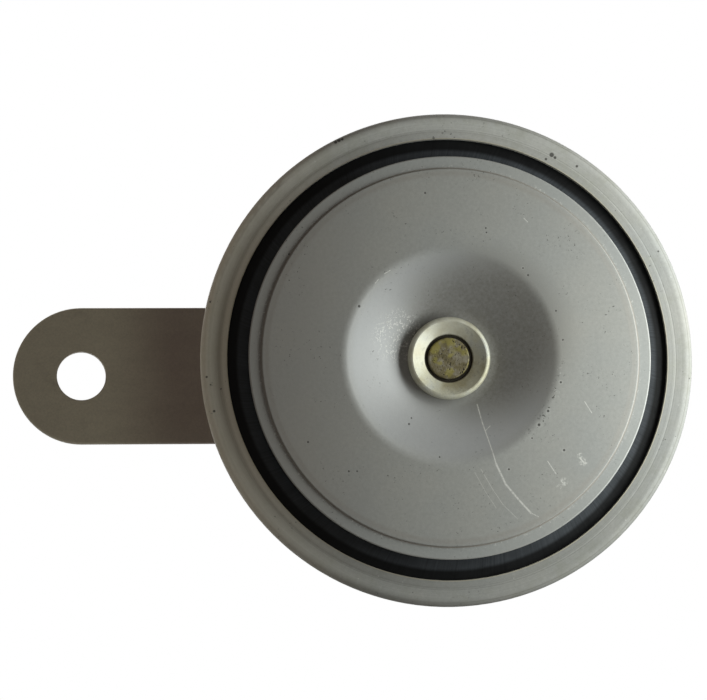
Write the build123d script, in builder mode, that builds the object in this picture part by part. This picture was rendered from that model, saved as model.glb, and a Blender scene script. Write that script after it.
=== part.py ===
from build123d import *
from math import cos, radians
import os

os.makedirs("parts", exist_ok=True)

# A 90 mm electric disc horn on a flat bracket.  Millimetres, +Z up.
# The horn sounds towards -Y and its bracket reaches towards -X.
# The origin is the centre of the bracket's mounting hole, on the bracket's rear face.

# ---- Overall sizes
rim_dia = 90.0             # across the cover ring
reach = 66.0               # mounting hole to the horn's axis
housing_depth = 34.5       # clamping seat of the housing to the rear face of its boss

# ---- Bracket
bracket_width = 26.0
bracket_t = 2.5
mount_hole_dia = 9.3
bracket_edge_r = 0.4

# ---- Sheet thicknesses
ring_t = 0.9
housing_t = 0.9
disc_t = 1.2
diaphragm_t = 0.4
gasket_t = 0.6

# ---- Clearances and small edges
press_gap = 0.05           # between turned pieces that are pressed or riveted together
edge_break = 0.3           # small rounding of a turned or moulded edge
edge_gap = 0.15            # round the edge of a piece that drops into another
seat_gap = 0.3             # between pieces that move past each other
spark_gap = 0.7            # round live pieces that a fastener passes through

# ---- Cover ring
ring_width = 4.7           # from the rim's outside in to the opening
band_lean = 0.1            # inner edge of the band above its outer edge
band_width = 1.1           # flat inner band
groove_width = 0.45        # from the band's edge to the middle of the groove
groove_depth = 0.1
groove_edge_r = 0.35       # where the band turns down into the groove
bead_slope = 1.6           # from the middle of the groove to the top of the bead
bead_rise = 0.15           # bead above the band
rim_corner_r = 1.3
crimp_width = 3.0          # how far the rim is folded in behind the flange

# ---- Tone disc
disc_margin = 3.7          # open ring between the disc and the cover ring
flange_width = 2.3         # from the disc's edge to its crease
shoulder_width = 1.3       # from the crease to where the shoulder's tangents cross
shoulder_rise = 2.0        # flat ring above the flange
shoulder_r = 3.0
dish_mouth_dia = 38.8      # where the tangents of dish and flat ring cross
dish_depth = 4.4
dish_mouth_r = 6.0
dish_floor_r = 3.0
dish_floor_margin = 0.4    # flat floor seen round the collar
disc_stand = 2.2           # front of the flange above the ring's flat band

# ---- Stem, collar and armature
stem_dia = 7.6
stem_end_depth = 1.2       # end of the stem below the collar's lip
collar_dia = 15.0
collar_height = 2.1
collar_lip = 0.8           # from the collar's side to the edge of its hollow cone
collar_cone_depth = 1.3
collar_recess_gap = 0.65   # round the stem, at the foot of the cone
collar_recess_depth = 1.7  # floor of the recess below the lip
spacer_dia = 15.0
armature_head_dia = 21.0
armature_head_t = 4.5
armature_dia = 16.0
armature_length = 8.5      # below the head
air_gap = 1.0              # armature to pole core

# ---- Diaphragm
diaphragm_drop = 3.5       # its middle below its clamped edge
diaphragm_margin = 2.8     # from the housing's mouth to the top of the cone
diaphragm_cone_width = 5.2
wave_margin = 7.0          # from the foot of the cone to the middle of the ring-shaped wave
wave_width = 6.0
wave_height = 0.6

# ---- Housing
flange_seat_width = 6.0    # from the rim's outside in to the mouth
wall_lean = 1.4            # how much the outer wall leans in, down to the step
step_depth = 12.0          # clamping seat to the step
step_width = 16.6          # from the outer wall in to the coil cup
cup_corner_r = 1.5
draft = 0.4                # how much the cup's wall leans in
boss_dia = 26.0
boss_rise = 2.0
boss_slope = 1.0

# ---- Magnet
pole_share = 0.41          # of the cup's diameter
pole_flange_dia = 22.0
pole_flange_t = 1.7
stud_dia = 8.0
bobbin_wall = 1.0
bobbin_flange_t = 1.2
winding_share = 0.81       # of the cup's diameter
winding_edge_r = 1.0
yoke_overlap = 7.0         # how far the yoke plate reaches past the cup
yoke_t = 1.6
yoke_lug_width = 9.0
yoke_lug_margin = 2.4      # from a lug's end to the outer wall
yoke_rivet_margin = 4.2    # from a lug's end to its rivet
yoke_rivet_dia = 3.2
yoke_rivet_head = 6.0
yoke_first_angle = 60.0

# ---- Contact breaker, on the side away from the bracket
contact_dia = 3.0
plate_margin = 1.1         # from the armature's head to the fixed plate
contact_margin = 2.8       # from the fixed plate's end to the contacts
stack_margin = 3.1         # from the contacts to the stack
stack_width = 12.0
plate_width = 11.0         # of the fixed plate and the leaf's root
plate_corner_r = 1.0
leaf_insulator_t = 1.9
leaf_t = 0.4
leaf_tongue_width = 7.0
middle_insulator_t = 1.0
fixed_plate_t = 1.0
fixed_plate_end = 3.0      # beyond the adjusting screw
top_insulator_t = 0.8
contact_rivet_dia = 2.4
contact_rivet_head = 4.4
contact_rivet_head_t = 0.8
contact_rivet_pitch = 5.4

# ---- Adjusting screw
adjuster_margin = 5.6      # from the screw's middle to the outer wall
adjuster_clear = 4.4       # from the screw's middle in to the contact stack
adjuster_dia = 5.0
adjuster_head_dia = 7.8
adjuster_head_t = 2.4
adjuster_slot = 1.2
adjuster_stand = 2.0       # head clear of the bush
adjuster_tip_t = 2.2
bush_dia = 9.5
bush_height = 3.5
bush_spigot_dia = 6.6
bush_roll_dia = 8.0
bush_roll_t = 0.6
bush_chamfer = 0.6

# ---- Terminals, below the horn's axis
terminal_margin = 7.2      # from the rivets to the outer wall
terminal_pitch = 12.0
tab_width = 6.3
tab_t = 0.8
tab_length = 14.0
tab_foot = 7.0
tab_bend_r = 0.6           # inside the bend
tab_hole_dia = 1.6
tab_hole_from_tip = 4.2
tab_tip_chamfer = 1.2
block_width = 21.0
block_depth = 8.4
block_t = 3.5
block_rib_t = 1.6
block_rib_height = 4.0
block_corner_r = 1.5
block_rib_corner_r = 0.6
block_insulator_t = 1.0
insulator_margin = 0.5     # round the heads of the terminal rivets
terminal_rivet_dia = 2.4
terminal_rivet_head = 4.2
terminal_rivet_head_t = 0.8

# ---- Fasteners on the stud
washer_dia = 17.0
washer_t = 1.6
spring_washer_dia = 14.0
spring_washer_t = 2.0
spring_washer_split = 1.4
nut_across_flats = 13.0
nut_t = 6.5
stud_beyond_nut = 2.5

# ---- Where things lie: depth is counted rearwards from the housing's clamping seat
seat_y = -(bracket_t + housing_depth)
rim_r = rim_dia / 2
opening_dia = rim_dia - 2 * ring_width
disc_dia = opening_dia - 2 * disc_margin
crease_dia = disc_dia - 2 * flange_width
mouth_dia = rim_dia - 2 * flange_seat_width
step_dia = mouth_dia - 2 * wall_lean
cup_dia = step_dia - 2 * step_width
diaphragm_cone_dia = mouth_dia - 2 * diaphragm_margin
diaphragm_flat_dia = diaphragm_cone_dia - 2 * diaphragm_cone_width
wave_r = diaphragm_flat_dia / 2 - wave_margin
pole_dia = cup_dia * pole_share
winding_dia = cup_dia * winding_share
yoke_dia = cup_dia + 2 * yoke_overlap
yoke_lug_reach = step_dia / 2 - yoke_lug_margin
yoke_rivet_r = yoke_lug_reach - yoke_rivet_margin
adjuster_r = step_dia / 2 - adjuster_margin
terminal_r = step_dia / 2 - terminal_margin
ring_under = -(2 * gasket_t + diaphragm_t)
band_front = ring_under - groove_depth - ring_t
bead_front = band_front - bead_rise
flange_front = band_front - disc_stand
face_front = flange_front - shoulder_rise
dish_floor = face_front + dish_depth
lip_front = dish_floor - collar_height
diaphragm_edge = -(gasket_t + diaphragm_t)
diaphragm_middle = diaphragm_edge + diaphragm_drop
head_front = diaphragm_middle + diaphragm_t
head_rear = head_front + armature_head_t
armature_rear = head_rear + armature_length
pole_front = armature_rear + air_gap
boss_inside = housing_depth - housing_t
cup_floor = boss_inside - boss_rise
step_outside = step_depth + housing_t
yoke_front = step_depth - yoke_t
leaf_rear = yoke_front - leaf_insulator_t
leaf_front = leaf_rear - leaf_t
fixed_rear = leaf_front - middle_insulator_t
fixed_front = fixed_rear - fixed_plate_t
stack_front = fixed_front - top_insulator_t
stem_bore = stem_dia + 2 * press_gap
bore_r = pole_dia / 2 + bobbin_wall / 2
bobbin_flange_r = cup_dia / 2 - draft - cup_corner_r - edge_gap
clamp_r = rim_r - ring_t - edge_gap
leaf_tip_r = armature_dia / 2 + 3 * seat_gap
fixed_plate_inner_r = armature_head_dia / 2 + plate_margin
fixed_plate_outer_r = adjuster_r + fixed_plate_end
contact_r = fixed_plate_inner_r + contact_margin
stack_inner_r = contact_r + stack_margin
stack_outer_r = adjuster_r - adjuster_clear
stack_middle_r = (stack_inner_r + stack_outer_r) / 2
block_rear = step_outside + block_t

spin = Axis((reach, seat_y, 0), (0, 1, 0))
section = Plane(origin=(reach, seat_y, 0))


def facing(depth):
    """Plane across the horn's axis at this depth: x to the right, y up, normal to the front."""
    return Plane(origin=(reach, seat_y + depth, 0), x_dir=(1, 0, 0), z_dir=(0, -1, 0))


# ---- Cover ring: one pressed sheet, beaded in front and crimped behind the flange
band_r = opening_dia / 2 + band_width
groove_r = band_r + groove_width
bead_r = groove_r + bead_slope
crimp_rear = housing_t + ring_t
with BuildPart() as cover_ring:
    with BuildSketch(section):
        with BuildLine():
            ring_front = FilletPolyline(
                (opening_dia / 2, band_front - band_lean),
                (band_r, band_front),
                (groove_r, band_front + groove_depth),
                (bead_r, bead_front),
                (rim_r, bead_front),
                (rim_r, crimp_rear),
                (rim_r - crimp_width, crimp_rear),
                radius=[1.2 * ring_t, groove_edge_r, 1.5 * ring_t, rim_corner_r, ring_t + press_gap],
            )
            offset(ring_front, amount=ring_t, side=Side.LEFT)
        make_face()
    revolve(axis=spin)
cover_ring.part.label = "cover_ring"
export_step(cover_ring.part, "parts/cover_ring.step")

# ---- Tone disc: dished in the middle, stepped down to a flat flange at the edge
dish_corner_r = collar_dia / 2 + dish_floor_margin + dish_floor_r / 4
with BuildPart() as tone_disc:
    with BuildSketch(section):
        with BuildLine():
            disc_front = FilletPolyline(
                (stem_bore / 2, dish_floor),
                (dish_corner_r, dish_floor),
                (dish_mouth_dia / 2, face_front),
                (crease_dia / 2 - shoulder_width, face_front),
                (crease_dia / 2, flange_front),
                (disc_dia / 2, flange_front),
                radius=[dish_floor_r, dish_mouth_r, shoulder_r, disc_t / 4],
            )
            offset(disc_front, amount=disc_t, side=Side.LEFT)
        make_face()
    revolve(axis=spin)
tone_disc.part.label = "tone_disc"
export_step(tone_disc.part, "parts/tone_disc.step")

# ---- Collar: turned ring with a hollow cone in its front
recess_r = stem_dia / 2 + collar_recess_gap
with BuildPart() as collar:
    with BuildSketch(section):
        with BuildLine():
            FilletPolyline(
                (stem_bore / 2, dish_floor),
                (collar_dia / 2, dish_floor),
                (collar_dia / 2, lip_front),
                (collar_dia / 2 - collar_lip, lip_front),
                (recess_r, lip_front + collar_cone_depth),
                (recess_r, lip_front + collar_recess_depth),
                (stem_bore / 2, lip_front + collar_recess_depth),
                radius=[0, edge_break, 0.9 * collar_lip, 0, edge_break / 2, 0, 0],
                close=True,
            )
        make_face()
    revolve(axis=spin)
collar.part.label = "collar"
export_step(collar.part, "parts/collar.step")

# ---- Spacer between tone disc and diaphragm
with BuildPart() as disc_spacer:
    with BuildSketch(facing(diaphragm_middle)):
        Circle(spacer_dia / 2)
        Circle(stem_bore / 2, mode=Mode.SUBTRACT)
    extrude(amount=diaphragm_middle - dish_floor - disc_t)
disc_spacer.part.label = "disc_spacer"
export_step(disc_spacer.part, "parts/disc_spacer.step")

# ---- Armature: plunger, head and stem turned in one piece, the stem riveted in the collar
with BuildPart() as armature:
    with BuildSketch(section):
        with BuildLine():
            FilletPolyline(
                (0, lip_front + stem_end_depth),
                (stem_dia / 2, lip_front + stem_end_depth),
                (stem_dia / 2, head_front),
                (armature_head_dia / 2, head_front),
                (armature_head_dia / 2, head_rear),
                (armature_dia / 2, head_rear),
                (armature_dia / 2, armature_rear),
                (0, armature_rear),
                radius=[0, edge_break, 0, 2 * edge_break, edge_break, 0, 2 * edge_break, 0],
                close=True,
            )
        make_face()
    revolve(axis=spin)
armature.part.label = "armature"
export_step(armature.part, "parts/armature.step")

# ---- Diaphragm: flat clamped edge, cone, ring-shaped wave and flat middle
wave_top = diaphragm_middle - wave_height
diaphragm_r = clamp_r - edge_gap
with BuildPart() as diaphragm:
    with BuildSketch(section):
        with BuildLine():
            diaphragm_front = FilletPolyline(
                (stem_bore / 2, diaphragm_middle),
                (wave_r - wave_width / 2, diaphragm_middle),
                (wave_r - wave_width / 4, wave_top),
                (wave_r + wave_width / 4, wave_top),
                (wave_r + wave_width / 2, diaphragm_middle),
                (diaphragm_flat_dia / 2, diaphragm_middle),
                (diaphragm_cone_dia / 2, diaphragm_edge),
                (diaphragm_r, diaphragm_edge),
                radius=3 * diaphragm_t,
            )
            offset(diaphragm_front, amount=diaphragm_t, side=Side.LEFT)
        make_face()
    revolve(axis=spin)
diaphragm.part.label = "diaphragm"
export_step(diaphragm.part, "parts/diaphragm.step")

# ---- Gaskets on both sides of the diaphragm's clamped edge
with BuildPart() as front_gasket:
    with BuildSketch(facing(diaphragm_edge)):
        Circle(diaphragm_r)
        Circle(opening_dia / 2 + edge_gap, mode=Mode.SUBTRACT)
    extrude(amount=gasket_t)
front_gasket.part.label = "front_gasket"
export_step(front_gasket.part, "parts/front_gasket.step")

with BuildPart() as rear_gasket:
    with BuildSketch(facing(0)):
        Circle(diaphragm_r)
        Circle(opening_dia / 2, mode=Mode.SUBTRACT)
    extrude(amount=gasket_t)
rear_gasket.part.label = "rear_gasket"
export_step(rear_gasket.part, "parts/rear_gasket.step")

# ---- Housing: deep-drawn can with flange, step, coil cup and raised boss
with BuildPart() as housing:
    with BuildSketch(section):
        with BuildLine():
            inside = FilletPolyline(
                (clamp_r, 0),
                (mouth_dia / 2, 0),
                (step_dia / 2, step_depth),
                (cup_dia / 2, step_depth),
                (cup_dia / 2 - draft, cup_floor),
                (boss_dia / 2, cup_floor),
                (boss_dia / 2 - boss_slope, boss_inside),
                (stud_dia / 2 + edge_gap, boss_inside),
                radius=[
                    1.2 * housing_t,
                    1.5 * housing_t,
                    1.5 * housing_t,
                    cup_corner_r,
                    1.3 * housing_t,
                    0.6 * housing_t,
                ],
            )
            offset(inside, amount=housing_t, side=Side.RIGHT)
        make_face()
    revolve(axis=spin)
    with BuildSketch(facing(step_outside)):
        with PolarLocations(yoke_rivet_r, 3, start_angle=yoke_first_angle):
            Circle(yoke_rivet_dia / 2 + press_gap)
        with Locations((adjuster_r, 0)):
            Circle(bush_spigot_dia / 2 + press_gap)
        with Locations((0, -terminal_r)):
            with GridLocations(terminal_pitch, 0, 2, 1):
                Circle(terminal_rivet_dia / 2 + spark_gap)
    extrude(amount=housing_t, mode=Mode.SUBTRACT)
housing.part.label = "housing"
export_step(housing.part, "parts/housing.step")

# ---- Pole core: shouldered core with the mounting stud in one piece
stud_end = housing_depth + bracket_t + washer_t + spring_washer_t + nut_t + stud_beyond_nut
with BuildPart() as pole_core:
    with BuildSketch(section):
        with BuildLine():
            FilletPolyline(
                (0, pole_front),
                (pole_dia / 2, pole_front),
                (pole_dia / 2, boss_inside - pole_flange_t),
                (pole_flange_dia / 2, boss_inside - pole_flange_t),
                (pole_flange_dia / 2, boss_inside),
                (stud_dia / 2, boss_inside),
                (stud_dia / 2, stud_end),
                (0, stud_end),
                radius=[0, edge_break, 0, edge_break, edge_break, 0, 0, 0],
                close=True,
            )
        make_face()
    revolve(axis=spin)
    stud_tip = pole_core.edges().filter_by(GeomType.CIRCLE).sort_by(Axis.Y)[-1]
    chamfer(stud_tip, length=stud_dia / 10)
pole_core.part.label = "pole_core"
export_step(pole_core.part, "parts/pole_core.step")

# ---- Coil: moulded bobbin and its winding
with BuildPart() as coil_bobbin:
    with BuildSketch(section):
        with BuildLine():
            Polyline(
                (bore_r, step_depth),
                (bobbin_flange_r, step_depth),
                (bobbin_flange_r, step_depth + bobbin_flange_t),
                (bore_r + bobbin_wall, step_depth + bobbin_flange_t),
                (bore_r + bobbin_wall, cup_floor - bobbin_flange_t),
                (bobbin_flange_r, cup_floor - bobbin_flange_t),
                (bobbin_flange_r, cup_floor),
                (bore_r, cup_floor),
                close=True,
            )
        make_face()
    revolve(axis=spin)
coil_bobbin.part.label = "coil_bobbin"
export_step(coil_bobbin.part, "parts/coil_bobbin.step")

with BuildPart() as coil_winding:
    with BuildSketch(facing(cup_floor - bobbin_flange_t - press_gap)):
        Circle(winding_dia / 2)
        Circle(bore_r + bobbin_wall + press_gap, mode=Mode.SUBTRACT)
    extrude(amount=cup_floor - step_depth - 2 * bobbin_flange_t - 2 * press_gap)
    winding_edges = coil_winding.edges().filter_by(GeomType.CIRCLE).sort_by(SortBy.RADIUS)
    fillet(winding_edges[-2:], radius=winding_edge_r)
coil_winding.part.label = "coil_winding"
export_step(coil_winding.part, "parts/coil_winding.step")

# ---- Yoke plate: steel plate with three lugs on the step, round the armature
stack_rivets = [(stack_middle_r, -contact_rivet_pitch / 2),
                (stack_middle_r, contact_rivet_pitch / 2)]
rivet_sink = (contact_rivet_head - contact_rivet_dia) / 2
with BuildPart() as yoke_plate:
    with BuildSketch(facing(step_depth)):
        Circle(yoke_dia / 2)
        with PolarLocations(0, 3, start_angle=yoke_first_angle):
            with Locations((yoke_lug_reach / 2, 0)):
                RectangleRounded(yoke_lug_reach, yoke_lug_width, yoke_lug_width / 3)
        Circle(armature_dia / 2 + 2 * seat_gap, mode=Mode.SUBTRACT)
        with PolarLocations(yoke_rivet_r, 3, start_angle=yoke_first_angle):
            Circle(yoke_rivet_dia / 2 + press_gap, mode=Mode.SUBTRACT)
        with Locations(*stack_rivets):
            Circle(contact_rivet_dia / 2 + press_gap, mode=Mode.SUBTRACT)
    extrude(amount=yoke_t)
    with BuildSketch(facing(step_depth)):
        with Locations(*stack_rivets):
            Circle(contact_rivet_head / 2 + press_gap)
    extrude(amount=rivet_sink, taper=45, mode=Mode.SUBTRACT)
yoke_plate.part.label = "yoke_plate"
export_step(yoke_plate.part, "parts/yoke_plate.step")

# ---- Three rivets through the yoke's lugs and the step
yoke_rivet_head_t = yoke_rivet_dia / 2.5
with BuildPart() as yoke_rivets:
    with BuildSketch(facing(step_outside)):
        with PolarLocations(yoke_rivet_r, 3, start_angle=yoke_first_angle):
            Circle(yoke_rivet_dia / 2)
    extrude(amount=step_outside - yoke_front)
    with BuildSketch(facing(yoke_front), facing(step_outside + yoke_rivet_head_t)):
        with PolarLocations(yoke_rivet_r, 3, start_angle=yoke_first_angle):
            Circle(yoke_rivet_head / 2)
    extrude(amount=yoke_rivet_head_t)
    outer_edges = yoke_rivets.edges().filter_by(GeomType.CIRCLE).sort_by(Axis.Y)
    fillet(outer_edges[:3] + outer_edges[-3:], radius=0.8 * yoke_rivet_head_t)
yoke_rivets.part.label = "yoke_rivets"
export_step(yoke_rivets.part, "parts/yoke_rivets.step")

# ---- Contact breaker: insulated stack of spring leaf and fixed plate on the yoke plate
stack_length = stack_outer_r - stack_inner_r
with BuildPart() as leaf_insulator:
    with BuildSketch(facing(yoke_front)):
        with Locations((stack_middle_r, 0)):
            RectangleRounded(stack_length, stack_width, plate_corner_r)
        with Locations(*stack_rivets):
            Circle(contact_rivet_dia / 2 + press_gap, mode=Mode.SUBTRACT)
    extrude(amount=leaf_insulator_t)
leaf_insulator.part.label = "leaf_insulator"
export_step(leaf_insulator.part, "parts/leaf_insulator.step")

with BuildPart() as moving_leaf:
    with BuildSketch(facing(leaf_rear)):
        with Locations((stack_middle_r, 0)):
            RectangleRounded(stack_length, plate_width, plate_corner_r)
        with Locations(((leaf_tip_r + stack_middle_r) / 2, 0)):
            RectangleRounded(stack_middle_r - leaf_tip_r, leaf_tongue_width, plate_corner_r)
        with Locations(*stack_rivets):
            Circle(contact_rivet_dia / 2 + spark_gap, mode=Mode.SUBTRACT)
    extrude(amount=leaf_t)
moving_leaf.part.label = "moving_leaf"
export_step(moving_leaf.part, "parts/moving_leaf.step")

with BuildPart() as middle_insulator:
    with BuildSketch(facing(leaf_front)):
        with Locations((stack_middle_r, 0)):
            RectangleRounded(stack_length, stack_width, plate_corner_r)
        with Locations(*stack_rivets):
            Circle(contact_rivet_dia / 2 + press_gap, mode=Mode.SUBTRACT)
    extrude(amount=middle_insulator_t)
middle_insulator.part.label = "middle_insulator"
export_step(middle_insulator.part, "parts/middle_insulator.step")

with BuildPart() as fixed_plate:
    with BuildSketch(facing(fixed_rear)):
        with Locations(((fixed_plate_inner_r + fixed_plate_outer_r) / 2, 0)):
            RectangleRounded(fixed_plate_outer_r - fixed_plate_inner_r, plate_width, plate_corner_r)
        with Locations(*stack_rivets):
            Circle(contact_rivet_dia / 2 + spark_gap, mode=Mode.SUBTRACT)
    extrude(amount=fixed_plate_t)
fixed_plate.part.label = "fixed_plate"
export_step(fixed_plate.part, "parts/fixed_plate.step")

with BuildPart() as top_insulator:
    with BuildSketch(facing(fixed_front)):
        with Locations((stack_middle_r, 0)):
            RectangleRounded(stack_length, stack_width, plate_corner_r)
        with Locations(*stack_rivets):
            Circle(contact_rivet_dia / 2 + press_gap, mode=Mode.SUBTRACT)
    extrude(amount=top_insulator_t)
top_insulator.part.label = "top_insulator"
export_step(top_insulator.part, "parts/top_insulator.step")

contact_t = middle_insulator_t / 2
with BuildPart() as moving_contact:
    with BuildSketch(facing(leaf_front)):
        with Locations((contact_r, 0)):
            Circle(contact_dia / 2)
    extrude(amount=contact_t)
moving_contact.part.label = "moving_contact"
export_step(moving_contact.part, "parts/moving_contact.step")

with BuildPart() as fixed_contact:
    with BuildSketch(facing(fixed_rear + contact_t)):
        with Locations((contact_r, 0)):
            Circle(contact_dia / 2)
    extrude(amount=contact_t)
fixed_contact.part.label = "fixed_contact"
export_step(fixed_contact.part, "parts/fixed_contact.step")

# The stack's two rivets end flush in countersinks at the back of the yoke plate
with BuildPart() as contact_rivets:
    with BuildSketch(facing(step_depth)):
        with Locations(*stack_rivets):
            Circle(contact_rivet_head / 2)
    extrude(amount=rivet_sink, taper=45)
    with BuildSketch(facing(step_depth)):
        with Locations(*stack_rivets):
            Circle(contact_rivet_dia / 2)
    extrude(amount=step_depth - stack_front)
    with BuildSketch(facing(stack_front)):
        with Locations(*stack_rivets):
            Circle(contact_rivet_head / 2)
    extrude(amount=contact_rivet_head_t)
    front_edges = contact_rivets.edges().filter_by(GeomType.CIRCLE).sort_by(Axis.Y)[:2]
    fillet(front_edges, radius=0.8 * contact_rivet_head_t)
contact_rivets.part.label = "contact_rivets"
export_step(contact_rivets.part, "parts/contact_rivets.step")

# ---- Adjusting screw in a threaded bush rolled into the step
adjuster = Axis((reach + adjuster_r, seat_y, 0), (0, 1, 0))
adjuster_section = Plane(origin=(reach + adjuster_r, seat_y, 0))
bush_rear = step_outside + bush_height
with BuildPart() as adjuster_bush:
    with BuildSketch(adjuster_section):
        with BuildLine():
            Polyline(
                (adjuster_dia / 2 + press_gap, step_depth - bush_roll_t),
                (bush_roll_dia / 2, step_depth - bush_roll_t),
                (bush_roll_dia / 2, step_depth),
                (bush_spigot_dia / 2, step_depth),
                (bush_spigot_dia / 2, step_outside),
                (bush_dia / 2, step_outside),
                (bush_dia / 2, bush_rear),
                (adjuster_dia / 2 + press_gap, bush_rear),
                close=True,
            )
        make_face()
    revolve(axis=adjuster)
    bush_edge = adjuster_bush.edges().filter_by(GeomType.CIRCLE).group_by(Axis.Y)[-1]
    chamfer(bush_edge.sort_by(SortBy.RADIUS)[-1], length=bush_chamfer)
adjuster_bush.part.label = "adjuster_bush"
export_step(adjuster_bush.part, "parts/adjuster_bush.step")

adjuster_head_front = bush_rear + adjuster_stand
adjuster_head_rear = adjuster_head_front + adjuster_head_t
with BuildPart() as adjusting_screw:
    with BuildSketch(adjuster_section):
        with BuildLine():
            FilletPolyline(
                (0, fixed_rear + adjuster_tip_t),
                (adjuster_dia / 2, fixed_rear + adjuster_tip_t),
                (adjuster_dia / 2, adjuster_head_front),
                (adjuster_head_dia / 2, adjuster_head_front),
                (adjuster_head_dia / 2, adjuster_head_rear),
                (0, adjuster_head_rear),
                radius=[0, edge_break, 0, edge_break, 2 * edge_break, 0],
                close=True,
            )
        make_face()
    revolve(axis=adjuster)
    with BuildSketch(facing(adjuster_head_rear)):
        with Locations((adjuster_r, 0)):
            Rectangle(2 * adjuster_head_dia, adjuster_slot)
    extrude(amount=adjuster_head_t / 2, mode=Mode.SUBTRACT)
adjusting_screw.part.label = "adjusting_screw"
export_step(adjusting_screw.part, "parts/adjusting_screw.step")

with BuildPart() as adjuster_tip:
    with BuildSketch(facing(fixed_rear + adjuster_tip_t)):
        with Locations((adjuster_r, 0)):
            Circle(adjuster_dia / 2)
    extrude(amount=adjuster_tip_t)
    tip_edge = adjuster_tip.edges().filter_by(GeomType.CIRCLE).sort_by(Axis.Y)[0]
    fillet(tip_edge, radius=2 * edge_break)
adjuster_tip.part.label = "adjuster_tip"
export_step(adjuster_tip.part, "parts/adjuster_tip.step")

# ---- Terminals: two bent tabs riveted through a ribbed block, the step and an inner insulator
foot_inner = terminal_rivet_head / 2 + tab_bend_r
foot_outer = tab_foot - foot_inner
block_middle = (0, -(terminal_r + foot_outer) + block_depth / 2 - edge_gap)
terminal_places = [(-terminal_pitch / 2, -terminal_r), (terminal_pitch / 2, -terminal_r)]
with BuildPart() as terminal_block:
    with BuildSketch(facing(block_rear)):
        with Locations(block_middle):
            RectangleRounded(block_width, block_depth, block_corner_r)
    extrude(amount=block_t)
    with BuildSketch(facing(block_rear + block_rib_height)):
        with Locations(block_middle):
            RectangleRounded(block_rib_t, block_depth, block_rib_corner_r)
    extrude(amount=block_rib_height)
    with BuildSketch(facing(block_rear)):
        with Locations(*terminal_places):
            Circle(terminal_rivet_dia / 2 + press_gap)
    extrude(amount=block_t, mode=Mode.SUBTRACT)
terminal_block.part.label = "terminal_block"
export_step(terminal_block.part, "parts/terminal_block.step")

insulator_width = terminal_pitch + terminal_rivet_head + 2 * insulator_margin
insulator_height = terminal_rivet_head + insulator_margin
with BuildPart() as terminal_insulator:
    with BuildSketch(facing(step_depth)):
        with Locations((0, -terminal_r - seat_gap)):
            RectangleRounded(insulator_width, insulator_height, plate_corner_r)
        with Locations(*terminal_places):
            Circle(terminal_rivet_dia / 2 + press_gap, mode=Mode.SUBTRACT)
    extrude(amount=block_insulator_t)
terminal_insulator.part.label = "terminal_insulator"
export_step(terminal_insulator.part, "parts/terminal_insulator.step")


def bent_tab(x):
    """A 6.3 mm tab: its foot under the rivet, its blade standing out to the rear."""
    side = Plane(origin=(reach + x - tab_width / 2, seat_y + block_rear, -terminal_r),
                 x_dir=(0, 1, 0), z_dir=(1, 0, 0))
    with BuildPart() as tab:
        with BuildSketch(side):
            with BuildLine():
                tab_line = FilletPolyline(
                    (0, foot_inner),
                    (0, -foot_outer),
                    (tab_length + tab_t, -foot_outer),
                    radius=tab_bend_r + tab_t,
                )
                offset(tab_line, amount=tab_t, side=Side.LEFT)
            make_face()
        extrude(amount=tab_width)
        tip_corners = tab.edges().filter_by(Axis.Z).group_by(Axis.Y)[-1]
        chamfer(tip_corners, length=tab_tip_chamfer)
        with BuildSketch(Plane.XZ.offset(-(seat_y + block_rear + tab_t))):
            with Locations((reach + x, -terminal_r)):
                Circle(terminal_rivet_dia / 2 + press_gap)
        extrude(amount=tab_t, mode=Mode.SUBTRACT)
        hole_y = seat_y + block_rear + tab_t + tab_length - tab_hole_from_tip
        with BuildSketch(Plane.XY.offset(-terminal_r - foot_outer)):
            with Locations((reach + x, hole_y)):
                Circle(tab_hole_dia / 2)
        extrude(amount=tab_t, mode=Mode.SUBTRACT)
    return tab


terminal_live = bent_tab(-terminal_pitch / 2)
terminal_live.part.label = "terminal_live"
export_step(terminal_live.part, "parts/terminal_live.step")

terminal_earth = bent_tab(terminal_pitch / 2)
terminal_earth.part.label = "terminal_earth"
export_step(terminal_earth.part, "parts/terminal_earth.step")

foot_rear = block_rear + tab_t
insulator_front = step_depth - block_insulator_t
with BuildPart() as terminal_rivets:
    with BuildSketch(facing(foot_rear)):
        with Locations(*terminal_places):
            Circle(terminal_rivet_dia / 2)
    extrude(amount=foot_rear - insulator_front)
    with BuildSketch(facing(insulator_front), facing(foot_rear + terminal_rivet_head_t)):
        with Locations(*terminal_places):
            Circle(terminal_rivet_head / 2)
    extrude(amount=terminal_rivet_head_t)
    rivet_edges = terminal_rivets.edges().filter_by(GeomType.CIRCLE).sort_by(Axis.Y)
    fillet(rivet_edges[:2] + rivet_edges[-2:], radius=0.8 * terminal_rivet_head_t)
terminal_rivets.part.label = "terminal_rivets"
export_step(terminal_rivets.part, "parts/terminal_rivets.step")

# ---- Bracket: flat strip, both ends fully round, clamped on the housing's boss
with BuildPart() as bracket:
    with BuildSketch(facing(housing_depth + bracket_t)):
        with Locations((-reach / 2, 0)):
            SlotCenterToCenter(reach, bracket_width)
        Circle(stud_dia / 2 + edge_gap, mode=Mode.SUBTRACT)
        with Locations((-reach, 0)):
            Circle(mount_hole_dia / 2, mode=Mode.SUBTRACT)
    extrude(amount=bracket_t)
    outline = [face.outer_wire().edges() for face in bracket.faces().filter_by(Axis.Y)]
    fillet(outline[0] + outline[1], radius=bracket_edge_r)
bracket.part.label = "bracket"
export_step(bracket.part, "parts/bracket.step")

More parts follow.
